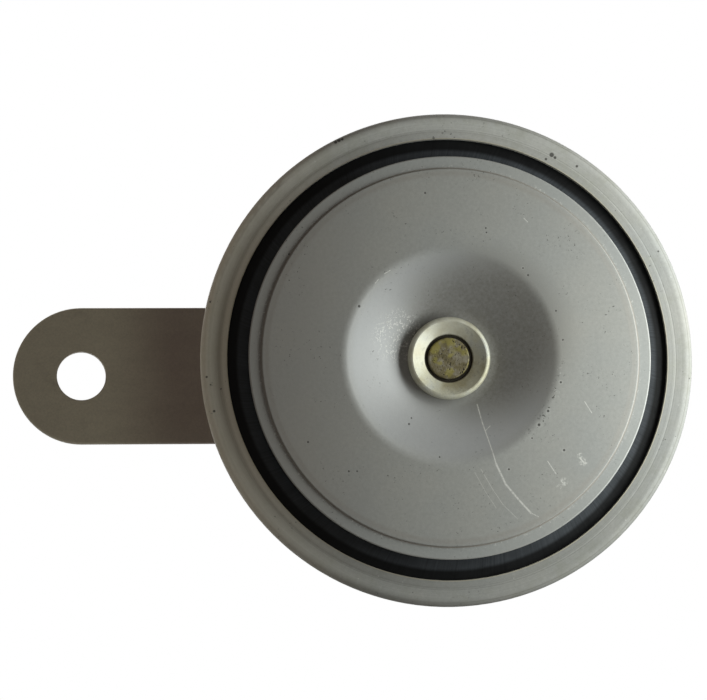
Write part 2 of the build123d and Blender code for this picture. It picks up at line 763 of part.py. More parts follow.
# ---- Washers and nut on the stud
washer_front = housing_depth + bracket_t
with BuildPart() as flat_washer:
    with BuildSketch(facing(washer_front + washer_t)):
        Circle(washer_dia / 2)
        Circle(stud_dia / 2 + edge_gap, mode=Mode.SUBTRACT)
    extrude(amount=washer_t)
    washer_edges = flat_washer.edges().filter_by(GeomType.CIRCLE).sort_by(SortBy.RADIUS)
    fillet(washer_edges[-2:], radius=edge_break)
flat_washer.part.label = "flat_washer"
export_step(flat_washer.part, "parts/flat_washer.step")

split_front = washer_front + washer_t
with BuildPart() as spring_washer:
    with BuildSketch(facing(split_front + spring_washer_t)):
        Circle(spring_washer_dia / 2)
        Circle(stud_dia / 2 + edge_gap, mode=Mode.SUBTRACT)
        with Locations(Location((0, spring_washer_dia / 2), 20)):
            Rectangle(spring_washer_split, spring_washer_dia, mode=Mode.SUBTRACT)
    extrude(amount=spring_washer_t)
spring_washer.part.label = "spring_washer"
export_step(spring_washer.part, "parts/spring_washer.step")

nut_front = split_front + spring_washer_t
nut_side = nut_across_flats / 2
with BuildPart() as mounting_nut:
    with BuildSketch(facing(nut_front + nut_t)):
        RegularPolygon(nut_side, 6, major_radius=False)
    extrude(amount=nut_t)
    with BuildSketch(section):
        with BuildLine():
            nut_corner = nut_side / cos(radians(30))
            bevel = (nut_corner - nut_side) * 0.6
            Polyline(
                (0, nut_front),
                (nut_side + 0.1, nut_front),
                (nut_corner + 0.1, nut_front + bevel),
                (nut_corner + 0.1, nut_front + nut_t - bevel),
                (nut_side + 0.1, nut_front + nut_t),
                (0, nut_front + nut_t),
                close=True,
            )
        make_face()
    revolve(axis=spin, mode=Mode.INTERSECT)
    with BuildSketch(facing(nut_front + nut_t)):
        Circle(stud_dia / 2 + press_gap)
    extrude(amount=nut_t, mode=Mode.SUBTRACT)
mounting_nut.part.label = "mounting_nut"
export_step(mounting_nut.part, "parts/mounting_nut.step")
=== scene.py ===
from math import cos, pi, radians, sin, tan, tau

import bmesh
import bpy
from bpy.props import FloatProperty, FloatVectorProperty, IntProperty, PointerProperty
from mathutils import Matrix, Vector, noise


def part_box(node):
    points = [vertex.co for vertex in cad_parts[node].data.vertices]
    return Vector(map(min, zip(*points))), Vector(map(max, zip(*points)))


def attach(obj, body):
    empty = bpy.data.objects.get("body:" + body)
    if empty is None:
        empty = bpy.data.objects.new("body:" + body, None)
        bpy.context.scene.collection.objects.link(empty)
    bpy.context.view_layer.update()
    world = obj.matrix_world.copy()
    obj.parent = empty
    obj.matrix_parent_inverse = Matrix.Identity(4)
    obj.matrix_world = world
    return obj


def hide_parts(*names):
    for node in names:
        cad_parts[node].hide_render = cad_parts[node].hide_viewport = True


bl_info = {
    "name": "Disc horn",
    "version": (1, 0, 0),
    "blender": (4, 5, 0),
    "location": "View3D > Sidebar > Horn",
    "description": "Finishes, threads and studio for a 90 mm electric disc horn",
    "category": "Object",
}

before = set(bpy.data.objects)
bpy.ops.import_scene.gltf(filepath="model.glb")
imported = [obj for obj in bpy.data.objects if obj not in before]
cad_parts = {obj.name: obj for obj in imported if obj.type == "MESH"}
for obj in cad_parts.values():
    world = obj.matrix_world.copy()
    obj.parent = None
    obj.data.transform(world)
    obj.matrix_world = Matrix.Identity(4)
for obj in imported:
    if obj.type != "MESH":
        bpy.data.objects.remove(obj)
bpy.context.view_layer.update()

MM = 0.001
REACH = 66.0                     # bracket hole to the horn's axis
SEAT = -37.0                     # clamping seat of the housing, along the axis
SHARP = 32.0                     # degrees between faces from which an edge stays sharp

RIGHT = (1.0, 0.0, 0.0)
REARWARD = (0.0, 1.0, 0.0)
UP = (0.0, 0.0, 1.0)
ROUND = (1.0, 0.0, 1.0)          # keeps what lies across the horn's axis
WHITE = (1.0, 1.0, 1.0)

# Radii on the face, in millimetres
STEM_EDGE = 3.84
COLLAR_BORE = 4.3
DISH_MOUTH = 20.0
DISC_CREASE = 34.4
DISC_EDGE = 36.5
UNDER_RING = 38.0                # where the cover ring starts to shade the diaphragm
RING_OPENING = 40.35
RING_GROOVE = 41.75
RING_RIM = 44.3

HOUSING_STEP = 23.0              # radius of the step in the housing's back

# The camera's axes and the middle of its view, in metres
VIEW_BACK = (-0.09046, -0.99228, -0.08483)
VIEW_RIGHT = (0.99590, -0.08990, -0.01043)
VIEW_TARGET = (0.04864, -0.0400, 0.00159)

# What lies on the enamel or wears through it, and painted light and shade on it
AGED_ENAMEL = (0.33, 0.335, 0.275)
# Painted light on the cover ring's left side
LEFT_LIGHT_PAINT = (0.74, 0.66, 0.50)
# Painted reflection: the dish's lighter, bluer sheen
DISH_SHEEN_PAINT = (0.50, 0.51, 0.53)
FLANGE_ENAMEL = (0.45, 0.49, 0.50)
CREASE_FILM = (0.36, 0.315, 0.27)
# Painted shade on the disc's left side
LEFT_SHADE_PAINT = (0.31, 0.285, 0.26)
# Painted shadow on the dish's right and upper wall
DISH_SHADOW_PAINT = (0.10, 0.088, 0.076)
HOUSING_DUST = (0.17, 0.15, 0.12)
EDGE_SHADOW = (0.16, 0.155, 0.115)
BARE_EDGE = (0.62, 0.56, 0.40)

# Metals, plastics, what stains them, and painted light and shade on them
ZINC_TARNISH = (0.16, 0.12, 0.07)
# Painted highlight on the collar's upper left
ZINC_HIGHLIGHT_PAINT = (0.86, 0.86, 0.78)
BORE_SHADOW = (0.03, 0.025, 0.015)
TURNED_STEEL = (0.42, 0.41, 0.39)
YELLOW_STAIN = (0.42, 0.37, 0.10)
PIT = (0.035, 0.03, 0.022)
# Painted shadow round the rim of the stem's end
STEM_RIM_SHADOW_PAINT = (0.05, 0.042, 0.03)
PLASTIC_DUST = (0.32, 0.30, 0.27)
LAMINATE = (0.23, 0.105, 0.04)
GASKET = (0.035, 0.034, 0.033)
GASKET_FLECK = (0.16, 0.15, 0.14)
WIRE_GAP = (0.16, 0.045, 0.018)
COPPER_WIRE = (0.72, 0.27, 0.11)
RED_LACQUER = (0.42, 0.03, 0.02)

# Marks in the enamel, in millimetres right of and above the horn's axis.
# A scratch is (points, width); a speck or knock is (middle, radius).
SCRATCHES = [
    ([(5.1, -8.4), (5.8, -11.7), (6.8, -15.3), (7.9, -19.4)], 0.3),
    ([(7.9, -19.4), (9.6, -23.1), (12.1, -26.1), (14.1, -28.3)], 0.5),
    ([(14.1, -28.3), (15.5, -29.0)], 0.2),
    ([(6.3, -13.3), (7.2, -12.4)], 0.18),
    ([(5.1, -20.3), (7.1, -23.8), (9.0, -26.7), (11.7, -29.4)], 0.1),
    ([(4.0, -20.9), (6.0, -24.6), (7.9, -27.5)], 0.08),
    ([(17.3, -19.0), (18.8, -21.3)], 0.22),
    ([(24.2, -8.2), (25.5, -10.3)], 0.2),
    ([(13.6, 25.2), (14.3, 24.5)], 0.2),
    ([(23.2, -18.4), (23.9, -19.3)], 0.42),
    ([(19.7, -22.6), (20.4, -23.3)], 0.36),
    ([(-11.9, 15.1), (-10.9, 15.7)], 0.24),
    ([(-13.6, 13.4), (-13.0, 14.1)], 0.2),
]
SPECKS = [
    ((15.8, -12.4), 0.34), ((14.5, -14.8), 0.2), ((17.5, -9.9), 0.3), ((19.9, -4.7), 0.26),
    ((20.3, -17.0), 0.28), ((10.2, -20.4), 0.24), ((13.3, 16.1), 0.2), ((14.2, 14.8), 0.24),
    ((20.4, 3.0), 0.2), ((19.2, 8.3), 0.22), ((-4.4, 29.8), 0.24), ((-29.2, 18.7), 0.22),
    ((-26.1, -15.3), 0.24), ((-7.6, -12.0), 0.26), ((-7.1, -10.9), 0.2), ((-18.8, -20.6), 0.22),
    ((-17.3, -20.6), 0.2), ((-2.3, -18.1), 0.2), ((-16.6, 9.2), 0.32), ((6.6, 23.4), 0.2),
    ((6.7, 22.6), 0.18),
]
KNOCKS = [((23.8, -19.1), 1.0), ((23.2, -18.0), 0.7), ((20.2, -22.7), 0.9), ((19.3, -23.6), 0.6)]
RING_SPECKS = [
    ((19.5, 37.4), 0.55), ((20.1, 36.9), 0.35), ((18.4, 36.6), 0.3), ((24.1, 35.3), 0.3),
    ((-44.0, -3.2), 0.26), ((-42.7, -9.4), 0.3), ((-20.2, 39.7), 0.42), ((-19.6, 40.0), 0.46),
    ((-19.0, 40.2), 0.34), ((-43.3, -4.6), 0.2), ((38.9, 19.6), 0.22),
]


class Signal:
    """An output in a shader tree: Math nodes join numbers, Vector Math nodes colours and vectors."""

    def __init__(self, finish, socket):
        self.finish = finish
        self.socket = socket
        self.wide = socket.type in {"VECTOR", "RGBA"}

    def maths(self, operation, *terms, output=0):
        wide = any(isinstance(t, tuple) or getattr(t, "wide", False) for t in terms)
        kind = "ShaderNodeVectorMath" if wide else "ShaderNodeMath"
        return self.finish.node(kind, {"operation": operation}, dict(enumerate(terms)), output)

    def __add__(self, other):
        return self.maths("ADD", self, other)

    def __radd__(self, other):
        return self.maths("ADD", other, self)

    def __sub__(self, other):
        return self.maths("SUBTRACT", self, other)

    def __rsub__(self, other):
        return self.maths("SUBTRACT", other, self)

    def __mul__(self, other):
        if isinstance(other, Signal) and self.wide != other.wide:
            vector, number = (self, other) if self.wide else (other, self)
            return vector.scaled(number)
        if isinstance(other, tuple) and not self.wide:
            return self.scaled(other)
        return self.maths("MULTIPLY", self, other)

    __rmul__ = __mul__

    def scaled(self, other):
        """A vector or colour times a number, with no hidden conversion between them."""
        vector, number = (self, other) if self.wide else (other, self)
        return self.finish.node("ShaderNodeVectorMath", {"operation": "SCALE"},
                                {0: vector, "Scale": number})

    def __abs__(self):
        return self.maths("ABSOLUTE", self)

    def most(self, other):
        return self.maths("MAXIMUM", self, other)

    def least(self, other):
        return self.maths("MINIMUM", self, other)

    def kept(self):
        return self.most(0.0).least(1.0)

    def length(self):
        return self.maths("LENGTH", self, output="Value")

    def dot(self, other):
        return self.maths("DOT_PRODUCT", self, other, output="Value")

    def bearing(self, across):
        """The angle of the place this high and that far across."""
        return self.maths("ARCTAN2", self, across)

    def rise(self, low, high):
        """0 up to low, 1 from high, and a smooth step between."""
        return self.finish.node("ShaderNodeMapRange", {"interpolation_type": "SMOOTHSTEP"},
                                {"Value": self, "From Min": low, "From Max": high})

    def fall(self, low, high):
        """1 up to low, 0 from high, and a smooth step between."""
        return 1.0 - self.rise(low, high)

    def near(self, middle, spread):
        """1 at middle, 0 from spread away."""
        return abs(self - middle).fall(0.0, spread)


class Finish:
    """The shader tree of a material or of the world."""

    def __init__(self, tree):
        self.tree = tree
        tree.nodes.clear()

    def node(self, kind, settings=None, inputs=None, output=0):
        """A node of this type; its settings are set first, then the values or links of its sockets."""
        made = self.tree.nodes.new(kind)
        for name, value in (settings or {}).items():
            if name == "stops":
                ramp = made.color_ramp.elements
                while len(ramp) < len(value):
                    ramp.new(1.0)
                for element, (place, colour) in zip(ramp, value):
                    element.position = place
                    element.color = (*colour, 1.0)
            else:
                setattr(made, name, value)
        for name, value in (inputs or {}).items():
            self.feed(made.inputs[name], value)
        return Signal(self, made.outputs[output]) if made.outputs else None

    def feed(self, socket, value):
        if isinstance(value, Signal):
            self.tree.links.new(value.socket, socket)
        elif socket.type == "RGBA" and len(value) == 3:
            socket.default_value = (*value, 1.0)
        elif socket.type == "VECTOR" and isinstance(value, (int, float)):
            socket.default_value = (value, value, value)
        else:
            socket.default_value = value

    def place(self):
        """Millimetres from the middle of the clamping seat: x to the right, y rearwards, z up."""
        point = self.node("ShaderNodeTexCoord", output="Object")
        return (point - (REACH * MM, SEAT * MM, 0.0)) * (1 / MM)

    def grain(self, place, scale, detail=2.0, roughness=0.5, stretch=None):
        """Noise of scale grains a millimetre, about -0.5 to 0.5."""
        at = place if stretch is None else place * stretch
        return self.node("ShaderNodeTexNoise", None, {
            "Vector": at, "Scale": scale, "Detail": detail, "Roughness": roughness}) - 0.5

    def rings(self, along, scale, detail=2.0):
        """Noise along one length: tool rings where it is the radius, streaks where it runs round."""
        return self.node("ShaderNodeTexNoise", {"noise_dimensions": "1D"}, {
            "W": along, "Scale": scale, "Detail": detail, "Roughness": 0.7}) - 0.5

    def mix(self, share, first, second):
        return self.node("ShaderNodeMix", {"data_type": "RGBA"}, {0: share, 6: first, 7: second}, 2)

    def bump(self, height, distance, strength):
        return self.node("ShaderNodeBump", None, {
            "Height": height, "Distance": distance * MM, "Strength": strength})

    def stroke(self, flat, points, width):
        """1 along a line through the points, fading to 0 at half its width."""
        nearest = None
        for (ax, az), (bx, bz) in zip(points, points[1:]):
            run = (bx - ax, 0.0, bz - az)
            square = run[0] ** 2 + run[2] ** 2
            start = flat - (ax, 0.0, az)
            along = start.dot(tuple(c / square for c in run)).kept()
            gap = (start - along * run).length()
            nearest = gap if nearest is None else nearest.least(gap)
        return nearest.fall(0.15 * width, 0.5 * width)

    def spot(self, flat, centre, radius):
        """1 round the centre, fading to 0 at the radius."""
        return (flat - (centre[0], 0.0, centre[1])).length().fall(0.5 * radius, radius)

    def marks(self, draw, flat, places):
        """The strongest mark at each point, joined one by one so that few values are held at once."""
        found = None
        for place in places:
            mark = draw(flat, *place)
            found = mark if found is None else found.most(mark)
        return found

    def surface(self, colour, metallic, roughness, normal, others=None):
        """Ends the tree in a surface; others holds sockets that keep one value all over."""
        shader = self.node("ShaderNodeBsdfPrincipled", None, {
            "Base Color": colour, "Metallic": metallic, "Roughness": roughness.kept(),
            "Normal": normal, **(others or {})})
        self.node("ShaderNodeOutputMaterial", None, {"Surface": shader})


def new_finish(name):
    """An empty material, its shader tree and the place on the piece that wears it."""
    material = bpy.data.materials.new(name)
    material.use_nodes = True
    finish = Finish(material.node_tree)
    return material, finish, finish.place()


def shade(colour, amount):
    """The colour, darker where amount is below 1."""
    return tuple(c * amount for c in colour)


def wear(material, *nodes):
    """Gives CAD nodes this finish in place of their plain one."""
    for node in nodes:
        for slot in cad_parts[node].material_slots:
            slot.material = material


# ---- Finishes

def enamelled(name, settings, turned=0.0):
    """Satin silver-grey enamel, mottled and clouded, over turning marks where turned is above 0."""
    material, finish, place = new_finish(name)
    flat = place * ROUND
    radius = flat.length()
    cloud = finish.grain(place, 0.07, 3.0)
    mottle = finish.grain(place, 1.6, 4.0, 0.6)
    fine = finish.grain(place, 5.0, 2.0)
    lines = finish.rings(radius, 5.0, 4.0)
    tone = 1.0 + cloud * 0.2 + mottle * 0.3 + fine * 0.2 + lines * (0.5 * turned)
    clouded = (cloud * 1.6 + 0.5).kept()
    colour = finish.mix(clouded, settings.enamel_colour, settings.enamel_warm_colour)
    height = mottle * 0.6 + fine * 0.4 + lines * turned
    return material, finish, {
        "place": place, "flat": flat, "radius": radius, "colour": colour * tone,
        "rough": settings.enamel_roughness + mottle * 0.12 + fine * 0.1,
        "height": height, "mottle": mottle,
    }


def ring_enamel(settings):
    """The cover ring's enamel: lines in the groove, painted light on the left side, painted shade on
    the right inner band, lighter towards the top, stains, chips and bare edge.
    """
    material, finish, coat = enamelled("Enamel, cover ring", settings, turned=0.3)
    place, radius, flat = coat["place"], coat["radius"], coat["flat"]
    groove = radius.near(RING_GROOVE, 0.95)
    lines = finish.rings(radius, 3.4, 3.0)
    chips = finish.marks(finish.spot, flat, RING_SPECKS)
    pitted = finish.grain(place, 0.12).rise(0.0, 0.1)
    pits = finish.grain(place, 1.1, 2.0, 0.7).rise(0.15, 0.2) * pitted
    across = flat.dot(RIGHT)
    inner_edge = radius.near(RING_OPENING, 0.16)
    outer_line = radius.near(RING_RIM, 0.14) * across.rise(-20.0, 10.0)
    sparks = finish.grain(place, 1.1, 1.0).rise(0.24, 0.28) * 0.9
    stain = finish.grain(place, 0.25, 4.0, 0.7).rise(-0.06, 0.2)
    # Painted light: the left side paler, as if lit, with its inner slope and outer rounding lightened
    # further below
    painted_left_light = across.fall(-44.0, -12.0)
    # Painted shade: the inner band darker on the right side, toning down its lit slope
    painted_right_shade = radius.fall(RING_GROOVE - 0.35, RING_GROOVE + 0.25) * across.rise(0.0, 30.0)
    # Lighter towards the top
    lighter_towards_top = flat.dot(UP).rise(-45.0, 45.0)
    painted_light_on_slopes = radius.fall(RING_GROOVE - 0.75, RING_GROOVE - 0.05).most(
        radius.rise(RING_RIM - 0.7, RING_RIM + 0.1)) * painted_left_light
    turned = groove * lines.rise(0.02, 0.12) * 0.5
    colour = coat["colour"] * (1.0 - turned + lines * 0.25 - painted_right_shade * 0.24)
    colour = finish.mix(stain * 0.35, colour, AGED_ENAMEL) * (0.88 + lighter_towards_top * 0.36)
    colour = finish.mix(painted_left_light * 0.5, colour, LEFT_LIGHT_PAINT) * (1.0 + painted_light_on_slopes * 0.55)
    colour = finish.mix(outer_line * 0.4, colour, EDGE_SHADOW)
    colour = finish.mix(inner_edge * 0.6, colour, BARE_EDGE)
    colour = finish.mix(sparks * 0.5, colour, settings.bright_colour)
    colour = finish.mix(chips.most(pits * 0.8) * 0.85, colour, settings.dirt_colour)
    normal = finish.bump(coat["height"] + groove * lines * 1.4 - chips * 1.5, 0.012, 0.7)
    finish.surface(colour, 0.0, coat["rough"] + 0.14, normal, {"Specular IOR Level": 0.3})
    return material


def disc_enamel(settings):
    """The tone disc's enamel: a dish made lighter and bluer by painted sheen and darker on its right
    and upper wall by painted shadow, painted shade on the left side, filmed crease, rubbed edge,
    scratches and knocks.
    """
    material, finish, coat = enamelled("Enamel, tone disc", settings)
    place, radius, flat = coat["place"], coat["radius"], coat["flat"]
    glint = finish.grain(place, 2.0, 2.0, 0.8)

    broken = finish.grain(place, 2.4, 3.0, 0.7).rise(-0.16, 0.02)
    scratches = finish.marks(finish.stroke, flat, SCRATCHES) * (0.35 + broken * 0.65)
    specks = finish.marks(finish.spot, flat, SPECKS)
    halos = finish.marks(finish.spot, flat, [(at, 2.1 * size) for at, size in SPECKS[:7]]) - specks
    scuffed = finish.spot(flat, (-9.2, 4.0), 6.0) * glint.rise(0.03, 0.13)
    knocks = finish.marks(finish.spot, flat, KNOCKS) * glint.rise(-0.08, 0.16)
    mouth = radius.near(DISH_MOUTH, 1.6) * finish.spot(flat, (18.0, -8.6), 10.0)
    chips = mouth * finish.grain(place, 1.7, 2.0, 0.7).rise(0.1, 0.17)
    shines = mouth * glint.rise(0.12, 0.2)
    nicks = radius.near(DISC_CREASE + 0.35, 0.4) * glint.rise(0.05, 0.18)
    peppered = glint.rise(0.16, 0.2) * finish.grain(place, 0.16, 2.0).rise(-0.02, 0.1)
    bare = scratches.most(halos * 0.16).most(scuffed * 0.7).most(shines * 0.7)
    bare = bare.most(nicks * 0.6).most(knocks * 0.9)
    worn = radius.rise(DISC_EDGE - 0.3, DISC_EDGE) * 0.22
    dirt = specks.most(chips).most(peppered * 0.75)

    dish = radius.fall(DISH_MOUTH - 3.0, DISH_MOUTH + 0.5)
    # Painted shadow: the dish darker, mottled, round a point right of and above its middle, where the
    # dish's own rim shades its wall
    painted_dish_shadow = (flat - (6.0, 0.0, 4.0)).length().fall(9.0, 19.0) * (0.85 + coat["mottle"])
    # Painted shade: the disc darker and warmer on its left side, outside the dish
    painted_left_shade = flat.dot(RIGHT).fall(-34.0, -4.0) * (1.0 - dish)
    flange = radius.rise(DISC_CREASE - 0.1, DISC_CREASE + 0.2)
    film = radius.near(DISC_CREASE, 0.2).most(radius.near(DISC_CREASE - 1.0, 0.9) * 0.3)
    colour = finish.mix(flange * 0.25, coat["colour"], FLANGE_ENAMEL)
    colour = finish.mix(film * 0.8, colour, CREASE_FILM)
    # Painted reflection: the dish lighter and bluer outside the painted shadow, standing in for the
    # lamp's sheen
    colour = finish.mix(dish * (1.0 - painted_dish_shadow).kept() * 0.55, colour, DISH_SHEEN_PAINT)
    colour = finish.mix(painted_left_shade * 0.5, colour, LEFT_SHADE_PAINT)
    colour = finish.mix(painted_dish_shadow * 0.62, colour, DISH_SHADOW_PAINT)
    colour = finish.mix(bare.most(worn), colour, settings.bright_colour)
    colour = finish.mix(dirt * 0.9, colour, settings.dirt_colour)
    metal = settings.enamel_metallic + worn * 0.4 - dirt * settings.enamel_metallic
    rough = coat["rough"] - worn * 0.1 - dish * 0.07 + dirt * 0.2
    normal = finish.bump(coat["height"] - specks * 2.0 + scuffed, 0.014, 0.7)
    finish.surface(colour, metal.kept(), rough, normal)
    return material


def housing_enamel(settings):
    """The housing's enamel: the same coat, a little duller and dirtier towards the step."""
    material, finish, coat = enamelled("Enamel, housing", settings, turned=0.12)
    place, radius = coat["place"], coat["radius"]
    dust = (finish.grain(place, 0.16, 4.0, 0.6) * 1.4 + radius.near(HOUSING_STEP, 6.0) * 0.35).kept()
    drips = finish.grain(place, 0.5, 3.0, 0.5, (1.0, 0.25, 1.0))
    nicks = finish.grain(place, 0.55, 1.0).rise(0.24, 0.27)
    colour = finish.mix(dust * 0.45, coat["colour"] * (1.0 + drips * 0.15), HOUSING_DUST)
    colour = finish.mix(nicks * 0.7, colour, settings.dirt_colour)
    normal = finish.bump(coat["height"] + drips * 0.8 - nicks, 0.014, 0.7)
    finish.surface(colour, settings.enamel_metallic, coat["rough"] + dust * 0.18, normal)
    return material


def collar_finish(settings):
    """Yellow passivated zinc on a turned collar: tinted patches, tarnish, a painted highlight on its
    upper left side.
    """
    material, finish, place = new_finish("Yellow zinc")
    radius = (place * ROUND).length()
    patch = finish.grain(place, 0.22, 3.0, 0.6)
    lines = finish.rings(radius, 9.0, 3.0)
    fine = finish.grain(place, 4.0, 3.0, 0.6)
    tint = finish.node("ShaderNodeValToRGB", {"stops": [
        (0.0, (0.36, 0.29, 0.14)), (0.42, settings.zinc_yellow_colour),
        (0.68, (0.66, 0.65, 0.52)), (1.0, (0.62, 0.64, 0.60))]}, {"Fac": patch * 1.6 + 0.62})
    tarnish = finish.grain(place, 0.9, 3.0, 0.7).rise(0.04, 0.26)
    colour = finish.mix(tarnish * 0.4, tint * (1.0 + lines * 0.2 + fine * 0.4), ZINC_TARNISH)
    # Painted highlight: the collar paler towards its upper left, as if lit from there
    rubbed = place.dot((-0.5, 0.0, 0.87)).rise(-2.0, 6.0)
    colour = finish.mix(rubbed * 0.4, colour, ZINC_HIGHLIGHT_PAINT)
    colour = finish.mix(radius.fall(COLLAR_BORE, COLLAR_BORE + 0.2), colour, BORE_SHADOW)
    rough = 0.54 + patch * 0.2 + fine * 0.2 + tarnish * 0.15
    finish.surface(colour, 0.42, rough, finish.bump(lines * 0.8 + fine, 0.02, 0.7))
    return material


def stem_finish(settings):
    """Turned steel, its riveted end dull olive brown, mottled and pitted, with a painted shadow round
    its rim.
    """
    material, finish, place = new_finish("Armature steel")
    radius = (place * ROUND).length()
    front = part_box("armature")[0].y / MM - SEAT
    end = place.dot(REARWARD).fall(front + 0.3, front + 0.6)
    mottle = finish.grain(place, 0.75, 4.0, 0.65)
    pits = finish.grain(place, 2.2, 2.0, 0.6).rise(0.08, 0.16)
    yellow = finish.grain(place, 0.5, 2.0, 0.5).rise(-0.02, 0.12)
    stain = finish.node("ShaderNodeValToRGB", {"stops": [
        (0.0, (0.10, 0.085, 0.055)), (0.45, settings.stem_end_colour),
        (0.62, (0.30, 0.27, 0.20)), (1.0, (0.46, 0.43, 0.32))]}, {"Fac": mottle * 2.0 + 0.5})
    stain = finish.mix(yellow * 0.7, stain, YELLOW_STAIN)
    steel = TURNED_STEEL * (1.0 + finish.rings(radius, 2.0, 3.0) * 0.4 + mottle * 0.2)
    colour = finish.mix(end, steel, finish.mix(pits * 0.8, stain, PIT))
    # Painted shadow: the rim of the stem's end darkened, where the gap to the collar's bore lies in
    # shade
    edge = radius.rise(STEM_EDGE - 0.12, STEM_EDGE)
    colour = finish.mix(end * edge * 0.85, colour, STEM_RIM_SHADOW_PAINT)
    normal = finish.bump(mottle * (0.3 + end) - pits * end * 1.2, 0.06, 0.6)
    finish.surface(colour, (0.95 - end * 0.35).kept(), 0.36 + end * 0.2 + mottle * 0.2, normal)
    return material


def diaphragm_finish(settings):
    """Black lacquer over spring steel, streaked outwards from the middle, with painted shade under the
    ring.
    """
    material, finish, place = new_finish("Black lacquer")
    radius = (place * ROUND).length()
    around = place.dot(UP).bearing(place.dot(RIGHT)) * 34.0
    broad = finish.grain(place, 0.3, 3.0, 0.6)
    streaks = finish.rings(around + radius * 0.2, 3.0, 3.0)
    # Painted shadow: the diaphragm darkened where the cover ring's edge shades it
    shaded = radius.rise(UNDER_RING, UNDER_RING + 0.8) * 0.88
    tone = (1.0 + broad * 0.8 + streaks * 1.1) * (1.0 - shaded)
    rough = settings.lacquer_roughness + broad * 0.12 + streaks * 0.14
    finish.surface(tuple(settings.lacquer_colour) * tone, 0.0, rough,
                   finish.bump(streaks + broad, 0.02, 0.6))
    return material


def bracket_finish(settings):
    """Dull grey-brown phosphated strip, browner and darker towards the horn, partly its own brown and
    partly painted shade of the horn, with pale specks.
    """
    material, finish, place = new_finish("Phosphated strip")
    across = place.dot(RIGHT)
    broad = finish.grain(place, 0.05, 4.0, 0.6)
    rolled = finish.grain(place, 0.5, 4.0, 0.6, (0.25, 1.0, 1.0))
    fine = finish.grain(place, 3.0, 3.0, 0.7)
    # Browner and darker towards the horn: partly the strip's own brown, partly painted shade of the
    # horn
    brown = (across.rise(-64.0, -46.0) * 0.95 + broad * 0.6).kept()
    colour = finish.mix(brown, settings.strip_colour, settings.strip_brown_and_shade_colour)
    colour = colour * (1.0 + rolled * 0.2 + fine * 0.45 + broad * 0.2)
    stain = finish.grain(place, 0.12, 5.0, 0.7).rise(0.08, 0.3)
    bare = finish.grain(place, 0.9, 2.0, 0.6).rise(0.22, 0.28) * 0.3
    colour = finish.mix(stain * 0.3, colour, shade(settings.strip_brown_and_shade_colour, 0.55))
    colour = finish.mix(bare, colour, shade(settings.strip_colour, 1.25))
    rough = 0.5 + broad * 0.12 + fine * 0.14 - bare * 0.4
    finish.surface(colour, 0.15, rough, finish.bump(fine * 0.7 + rolled, 0.012, 0.7))
    return material


def plated(name, colour, dull, roughness, turned=0.15):
    """Bright plated or bare metal: spangled tone, faint turning lines, tarnish in patches."""
    material, finish, place = new_finish(name)
    radius = (place * ROUND).length()
    spangles = finish.node("ShaderNodeTexVoronoi", {"feature": "SMOOTH_F1"},
                           {"Vector": place, "Scale": 0.9, "Smoothness": 0.6}) - 0.4
    fine = finish.grain(place, 3.5, 3.0, 0.65)
    lines = finish.rings(radius, 6.0, 3.0)
    tarnish = finish.grain(place, 0.25, 4.0, 0.65).rise(0.02, 0.24)
    tone = 1.0 + spangles * 0.175 + fine * 0.16 + lines * turned
    finish.surface(finish.mix(tarnish * 0.6, colour * tone, dull), 1.0,
                   roughness + fine * 0.14 + tarnish * 0.16,
                   finish.bump(fine * 0.6 + lines * turned * 3.0, 0.01, 0.6))
    return material


def moulded(name, colour, roughness):
    """Moulded plastic: fine spark-eroded grain, flow lines and a little dust."""
    material, finish, place = new_finish(name)
    grit = finish.grain(place, 4.0, 3.0, 0.6)
    flow = finish.grain(place, 0.4, 2.0, 0.5, (1.0, 0.3, 1.0))
    dust = finish.grain(place, 0.9, 3.0, 0.7).rise(0.08, 0.34)
    tone = 1.0 + grit * 0.2 + flow * 0.16
    finish.surface(finish.mix(dust * 0.1, colour * tone, PLASTIC_DUST), 0.0,
                   roughness + grit * 0.16 + dust * 0.12, finish.bump(grit, 0.02, 0.6))
    return material


def laminate_finish():
    """Brown paper laminate: fibres one way, layers at the cut edge."""
    material, finish, place = new_finish("Paper laminate")
    fibres = finish.grain(place, 2.2, 4.0, 0.7, (1.0, 1.0, 0.15))
    layers = finish.grain(place, 1.0, 2.0, 0.5, (0.02, 7.0, 0.02))
    colour = LAMINATE * (1.0 + fibres * 0.5 + layers * 0.35)
    finish.surface(colour, 0.0, 0.46 + fibres * 0.2, finish.bump(fibres + layers * 0.6, 0.02, 0.6))
    return material


def rubber_finish():
    """Pressed fibre gasket: speckled dull black."""
    material, finish, place = new_finish("Gasket fibre")
    fibre = finish.grain(place, 1.8, 5.0, 0.75)
    fleck = finish.grain(place, 1.2, 1.0).rise(0.2, 0.28)
    colour = finish.mix(fleck * 0.25, GASKET * (1.0 + fibre * 0.7), GASKET_FLECK)
    finish.surface(colour, 0.0, 0.78 + fibre * 0.2, finish.bump(fibre, 0.04, 0.7))
    return material


def winding_finish():
    """Layers of enamelled copper wire, a turn every third of a millimetre."""
    material, finish, place = new_finish("Enamelled copper wire")
    wires = finish.node("ShaderNodeTexWave", {"bands_direction": "Y", "wave_profile": "SIN"}, {
        "Vector": place, "Scale": 0.95, "Distortion": 0.35, "Detail": 1.0, "Detail Scale": 0.3})
    patch = finish.grain(place, 0.3, 3.0, 0.6)
    colour = finish.mix(wires, WIRE_GAP, COPPER_WIRE) * (1.0 + patch * 0.35)
    finish.surface(colour, 0.85, 0.3 + patch * 0.14, finish.bump(wires, 0.12, 0.8),
                   {"Coat Weight": 0.5, "Coat Roughness": 0.18})
    return material


